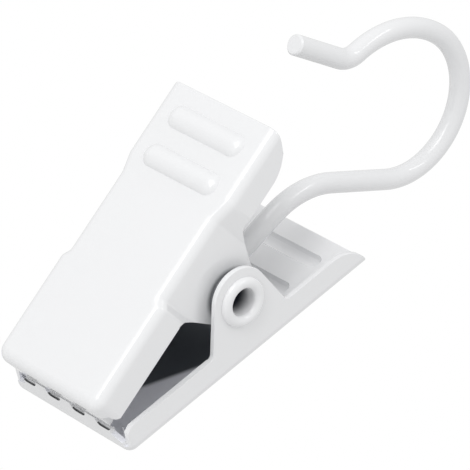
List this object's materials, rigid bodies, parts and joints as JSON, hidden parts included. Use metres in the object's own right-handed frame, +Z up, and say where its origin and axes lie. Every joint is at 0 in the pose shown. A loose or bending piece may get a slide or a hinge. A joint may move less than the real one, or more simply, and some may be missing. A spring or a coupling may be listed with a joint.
{
  "type": "clip hook",
  "caption": "White painted steel curtain clip: sprung stamped jaws with grip ribs and toothed lips, and a wire hook that swings on the hinge eyelet to hang over a rod.",
  "frame": {"origin": "centre of the hook's bight, where the rod lies", "axes": "+Z up along the jaws' middle plane toward the hook, +Y toward the back jaw, +X along the hinge and the rod"},
  "size_m": [0.0177, 0.0242, 0.0515],
  "materials": {
    "white_paint": "gloss",
    "spring_steel": "satin"
  },
  "bodies": {
    "hook": {"hook": "white_paint"},
    "back_jaw": {"back_jaw": "white_paint", "hinge_pin": "white_paint", "torsion_spring": "spring_steel"},
    "front_jaw": {"front_jaw": "white_paint"}
  },
  "joints": [
    {"name": "hook_swing", "type": "hinge", "parent": "hook", "child": "back_jaw", "pos_m": [-0.00105, -0.00572, -0.02633], "axis": [1, 0, 0], "range_deg": [-24, 8]},
    {"name": "jaw_open", "type": "hinge", "parent": "back_jaw", "child": "front_jaw", "pos_m": [-0.00105, -0.00572, -0.02633], "axis": [-1, 0, 0], "range_deg": [0, 25], "stiffness_Nm_per_rad": 0.05, "springref_deg": -45.84, "deforming": ["torsion_spring"]}
  ]
}
